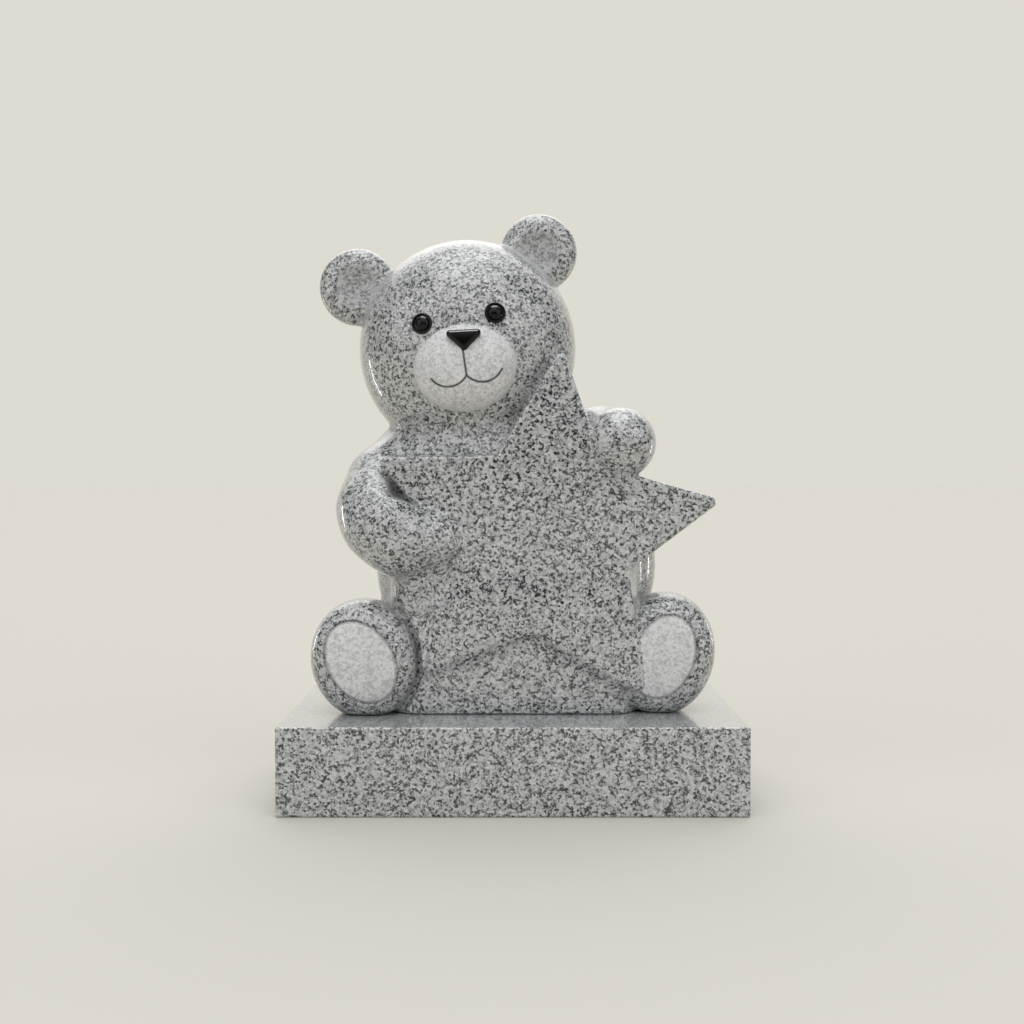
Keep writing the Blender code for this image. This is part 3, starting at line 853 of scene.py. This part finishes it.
# %% [markdown]
# Black polish shows nothing but what it mirrors. A lamp straight above the memorial is what the domes, the
# rings and the nose's upper bevel mirror, as thin bright arcs and a pale band. It is linked to those pieces
# alone.

# %% The lamp for the black polish
GLOSS_PLACE, GLOSS_SIZE, GLOSS_WATTS = (-0.05, 0.12, 1.6), (0.8, 0.5), 12

light = bpy.data.lights.new("gloss_lamp", "AREA")
light.shape = "RECTANGLE"
light.size, light.size_y = GLOSS_SIZE
light.energy = GLOSS_WATTS
lamp = bpy.data.objects.new("gloss_lamp", light)
lamp.location = GLOSS_PLACE
lamp.visible_diffuse = lamp.visible_camera = False
bpy.context.scene.collection.objects.link(lamp)
black_pieces = bpy.data.collections.new("black_pieces")
for piece in (*eyes, nose):
    black_pieces.objects.link(piece)
lamp.light_linking.receiver_collection = black_pieces

# %% [markdown]
# The slab is sawn and polished on every side, with its edges eased so that they don't chip. A bevel makes the
# round of each edge, and weighted normals keep the flat faces flat right up to it, as a polished face is.

# %% The slab
EDGE_EASE, EASE_STEPS = 0.0025, 5

block_mesh = bmesh.new()
bmesh.ops.create_cube(block_mesh, size=1)
for vertex in block_mesh.verts:
    vertex.co = [float(base_low[i] if vertex.co[i] < 0 else base_high[i]) for i in range(3)]
bmesh.ops.bevel(
    block_mesh, geom=block_mesh.edges[:], offset=EDGE_EASE, segments=EASE_STEPS, profile=0.5, affect="EDGES"
)
slab = new_object("polished_slab", block_mesh)
slab.data.shade_smooth()
flat_faces = slab.modifiers.new("flat_faces", "WEIGHTED_NORMAL")
flat_faces.mode = "FACE_AREA"
flat_faces.weight = 100
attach(slab, "root")
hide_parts("base")
print(slab.name, len(slab.data.polygons), "faces")

# %% [markdown]
# Granite is crystals: white feldspar, grey quartz and flakes of black mica, a few millimetres across. A
# Voronoi texture splits space into cells of that size and gives each cell a random number, which decides the
# mineral. A node group can hold such a pattern once for every piece that needs it, here the bear, the slab
# and the black pieces. The first step is three helpers: one for an empty group, and two for its usual nodes.

# %% Helpers for nodes
def group_with(name, inputs, outputs):
    """An empty node group, with its named sockets, and its two end nodes."""
    group = bpy.data.node_groups.new(name, "ShaderNodeTree")
    for label, kind, value in inputs:
        socket = group.interface.new_socket(label, in_out="INPUT", socket_type=kind)
        if value is not None:
            socket.default_value = value
    for label, kind in outputs:
        group.interface.new_socket(label, in_out="OUTPUT", socket_type=kind)
    return group, group.nodes.new("NodeGroupInput"), group.nodes.new("NodeGroupOutput")


def arithmetic(group, operation, a, b=None, clamp=False):
    """A Math node whose inputs are sockets or numbers. Returns its output."""
    node = group.nodes.new("ShaderNodeMath")
    node.operation = operation
    node.use_clamp = clamp
    for socket, value in zip(node.inputs, (a, b)):
        if hasattr(value, "links"):
            group.links.new(value, socket)
        elif value is not None:
            socket.default_value = value
    return node.outputs[0]


def ramp(group, factor, stops):
    """A Color Ramp from (place, grey or colour) stops. Returns its colour output."""
    node = group.nodes.new("ShaderNodeValToRGB")
    elements = node.color_ramp.elements
    while len(elements) < len(stops):
        elements.new(0.5)
    for element, (place, colour) in zip(elements, stops):
        element.position = place
        element.color = (*colour, 1) if isinstance(colour, tuple) else (colour, colour, colour, 1)
    group.links.new(factor, node.inputs["Fac"])
    return node.outputs["Color"]


print("helpers", group_with.__name__, arithmetic.__name__, ramp.__name__)

# %% [markdown]
# Two sizes of crystals are mixed, as small ones fill the room between the large ones. Their coordinates are
# bent by noise first, so that the crystals aren't neat pebbles. The pattern is solid: it runs through the
# block, as it does in stone, so it never stretches over a curve. A colour ramp turns the mixed number into a
# mineral's colour, with a steep rise between the black mica and the grey quartz.

# %% The granite's node group
CRYSTAL_STOPS = (
    (0.0, (0.009, 0.013, 0.015)),
    (0.24, (0.018, 0.025, 0.029)),
    (0.32, (0.11, 0.121, 0.126)),
    (0.38, (0.27, 0.275, 0.28)),
    (0.52, (0.42, 0.425, 0.43)),
    (0.75, (0.55, 0.555, 0.555)),
    (1.0, (0.68, 0.68, 0.675)),
)
COARSE_SHARE, FINE_SHARE, FINE_SIZE = 0.6, 0.4, 0.52
CRYSTAL_SIZE, CRYSTAL_BEND, WANDER_SCALE = 0.003, 0.0008, 0.8

granite_inputs = (
    ("Vector", "NodeSocketVector", None),
    ("Crystal Size", "NodeSocketFloat", CRYSTAL_SIZE),
    ("Bend", "NodeSocketFloat", CRYSTAL_BEND),
)
granite_outputs = (("Color", "NodeSocketColor"), ("Mineral", "NodeSocketFloat"))
granite, granite_in, granite_out = group_with("granite_crystals", granite_inputs, granite_outputs)

spread = arithmetic(granite, "DIVIDE", 1.0, granite_in.outputs["Crystal Size"])
wander = granite.nodes.new("ShaderNodeTexNoise")
wander.inputs["Detail"].default_value = 2
granite.links.new(granite_in.outputs["Vector"], wander.inputs["Vector"])
granite.links.new(arithmetic(granite, "MULTIPLY", spread, WANDER_SCALE), wander.inputs["Scale"])
centred = granite.nodes.new("ShaderNodeVectorMath")
centred.operation = "SUBTRACT"
centred.inputs[1].default_value = (0.5, 0.5, 0.5)
granite.links.new(wander.outputs["Color"], centred.inputs[0])
bent = granite.nodes.new("ShaderNodeVectorMath")
bent.operation = "MULTIPLY_ADD"
granite.links.new(centred.outputs[0], bent.inputs[0])
granite.links.new(arithmetic(granite, "MULTIPLY", granite_in.outputs["Bend"], 2.0), bent.inputs[1])
granite.links.new(granite_in.outputs["Vector"], bent.inputs[2])


def crystals(size_share):
    """A random number for each crystal whose size is this share of the main one."""
    node = granite.nodes.new("ShaderNodeTexVoronoi")
    granite.links.new(bent.outputs[0], node.inputs["Vector"])
    granite.links.new(arithmetic(granite, "DIVIDE", spread, size_share), node.inputs["Scale"])
    parts = granite.nodes.new("ShaderNodeSeparateColor")
    granite.links.new(node.outputs["Color"], parts.inputs[0])
    return parts.outputs["Red"]


coarse = arithmetic(granite, "MULTIPLY", crystals(1.0), COARSE_SHARE)
fine = arithmetic(granite, "MULTIPLY", crystals(FINE_SIZE), FINE_SHARE)
mixed = arithmetic(granite, "ADD", coarse, fine)
granite.links.new(ramp(granite, mixed, CRYSTAL_STOPS), granite_out.inputs["Color"])
granite.links.new(mixed, granite_out.inputs["Mineral"])
print(granite.name, "has", len(granite.nodes), "nodes")

# %% [markdown]
# One finish for the whole bear reads the shares that were written on its points. Polished stone shows its
# crystals' full contrast, except where the eye grazes it: there the colour is paled towards grey, a painted
# sheen in place of the reflection of the bright room. Honing leaves a fine matt skin that scatters light, so
# the same crystals look paler and closer to each other. The grooves are cut through both, and their colour is
# darkened: with dark paint and painted shade in the mouth's lines, and with painted shade in the soles'
# rings.

# %% The bear's granite
POLISHED_ROUGHNESS, HONED_ROUGHNESS, BEAR_GLOSS = 0.25, 0.6, 0.75
# The pale grey painted where the eye grazes polished stone, a painted sheen, and the facing values where it
# starts and where it is full.
GRAZING_PAINTED_SHEEN, GRAZING_START, GRAZING_END = (0.42, 0.425, 0.43), 0.4, 0.9
# The last colour darkens the grooves: dark paint and painted shade in the mouth, painted shade in the soles'
# rings.
HONED_HAZE, CUP_HAZE, GROOVE_PAINT_AND_SHADE = (0.88, 0.88, 0.885), (0.46, 0.465, 0.47), (0.015, 0.015, 0.016)
# What is written on the points, how much of its colour it brings, and that colour, one over the other.
FINISHES = (
    ("honed", 0.55, HONED_HAZE),
    ("cup", 0.4, CUP_HAZE),
    # The mouth's dark is partly its dark paint and partly painted shade; the soles' rings are darkened with
    # painted shade alone.
    ("mouth", 0.95, GROOVE_PAINT_AND_SHADE),
    ("sole_ring", 0.35, GROOVE_PAINT_AND_SHADE),
)
# The first number is how strongly the painted grazing sheen pales the bear's crystals.
BEAR_PAINTED_SHEEN, TIGHT_ROUGHENS, COAT_ROUGHNESS, GRANITE_IOR = 0.85, 0.2, 0.05, 1.55


def mix_colours(tree, factor, a, b):
    """A colour Mix node whose inputs are sockets or plain values. Returns its output."""
    node = tree.nodes.new("ShaderNodeMix")
    node.data_type = "RGBA"
    sockets = [node.inputs["Factor"], node.inputs[6], node.inputs[7]]
    for socket, value in zip(sockets, (factor, a, b)):
        if hasattr(value, "links"):
            tree.links.new(value, socket)
        else:
            socket.default_value = (*value, 1) if isinstance(value, tuple) else value
    return node.outputs[2]


def place_granite(tree, crystal_size):
    """The granite group in a material, on the stone's own coordinates."""
    node = tree.nodes.new("ShaderNodeGroup")
    node.node_tree = granite
    node.inputs["Crystal Size"].default_value = crystal_size
    coordinates = tree.nodes.new("ShaderNodeTexCoord")
    tree.links.new(coordinates.outputs["Object"], node.inputs["Vector"])
    return node


def written(tree, name):
    """A share that was written on the mesh's points."""
    node = tree.nodes.new("ShaderNodeAttribute")
    node.attribute_name = name
    return node.outputs["Fac"]


def painted_grazing_sheen(tree, colour, strongest):
    """Crystals that fade to pale grey where the eye grazes the polish: a painted sheen in place of the
    reflection there.
    """
    grazing = tree.nodes.new("ShaderNodeLayerWeight").outputs["Facing"]
    painted_sheen_share = tree.nodes.new("ShaderNodeMapRange")
    painted_sheen_share.interpolation_type = "SMOOTHSTEP"
    for label, value in (("From Min", GRAZING_START), ("From Max", GRAZING_END), ("To Max", strongest)):
        painted_sheen_share.inputs[label].default_value = value
    tree.links.new(grazing, painted_sheen_share.inputs["Value"])
    return mix_colours(tree, painted_sheen_share.outputs["Result"], colour, GRAZING_PAINTED_SHEEN)


bear_stone, tree, shader = new_material("carved_granite")
crystal_node = place_granite(tree, CRYSTAL_SIZE)
# Painted sheen: the crystals' colour fades to pale grey where the eye grazes the polish, in place of the
# room's reflection.
colour = painted_grazing_sheen(tree, crystal_node.outputs["Color"], BEAR_PAINTED_SHEEN)
for name, strength, finish_colour in FINISHES:
    share = arithmetic(tree, "MULTIPLY", written(tree, name), strength)
    colour = mix_colours(tree, share, colour, finish_colour)
tree.links.new(colour, shader.inputs["Base Color"])
matt = arithmetic(tree, "MAXIMUM", written(tree, "honed"), written(tree, "cup"))
tight_here = written(tree, "tight")
rough = arithmetic(tree, "MULTIPLY_ADD", matt, HONED_ROUGHNESS - POLISHED_ROUGHNESS)
rough.node.inputs[2].default_value = POLISHED_ROUGHNESS
rough = arithmetic(tree, "ADD", rough, arithmetic(tree, "MULTIPLY", tight_here, TIGHT_ROUGHENS), clamp=True)
tree.links.new(rough, shader.inputs["Roughness"])
gloss = arithmetic(tree, "SUBTRACT", arithmetic(tree, "SUBTRACT", 1.0, matt), tight_here, clamp=True)
tree.links.new(arithmetic(tree, "MULTIPLY", gloss, BEAR_GLOSS), shader.inputs["Coat Weight"])
shader.inputs["Coat Roughness"].default_value = COAT_ROUGHNESS
shader.inputs["IOR"].default_value = GRANITE_IOR
bear.data.materials.append(bear_stone)
print(bear_stone.name, "made")

# %% [markdown]
# The slab is the same granite, polished all over, so it needs no shares. The eyes and the nose are a black
# granite with finer crystals that hardly differ. It is nearly a black mirror, and a low index of refraction
# keeps that mirror dim, so that little but the lamps shows in it.

# %% The slab's granite and the black granite
# The first number is how strongly the painted grazing sheen pales the slab's crystals.
SLAB_PAINTED_SHEEN, SLAB_GLOSS_ROUGHNESS = 0.8, 0.04
BLACK_CRYSTAL_SIZE, BLACK_STOPS = 0.0012, ((0.0, 0.002), (0.7, 0.004), (1.0, 0.012))
BLACK_ROUGHNESS, BLACK_IOR = 0.04, 1.33

slab_stone, tree, shader = new_material("slab_granite")
crystal_node = place_granite(tree, CRYSTAL_SIZE)
# The slab's crystals also fade to pale grey where the eye grazes them: painted sheen in place of the
# reflection.
colour = painted_grazing_sheen(tree, crystal_node.outputs["Color"], SLAB_PAINTED_SHEEN)
tree.links.new(colour, shader.inputs["Base Color"])
shader.inputs["Roughness"].default_value = POLISHED_ROUGHNESS
shader.inputs["IOR"].default_value = GRANITE_IOR
shader.inputs["Coat Weight"].default_value = 1
shader.inputs["Coat Roughness"].default_value = SLAB_GLOSS_ROUGHNESS
slab.data.materials.append(slab_stone)

black_stone, tree, shader = new_material("black_granite")
crystal_node = place_granite(tree, BLACK_CRYSTAL_SIZE)
black = ramp(tree, crystal_node.outputs["Mineral"], BLACK_STOPS)
tree.links.new(black, shader.inputs["Base Color"])
shader.inputs["Roughness"].default_value = BLACK_ROUGHNESS
shader.inputs["IOR"].default_value = BLACK_IOR
for piece in (*eyes, nose):
    piece.data.materials.append(black_stone)
print(slab_stone.name, "and", black_stone.name, "made")
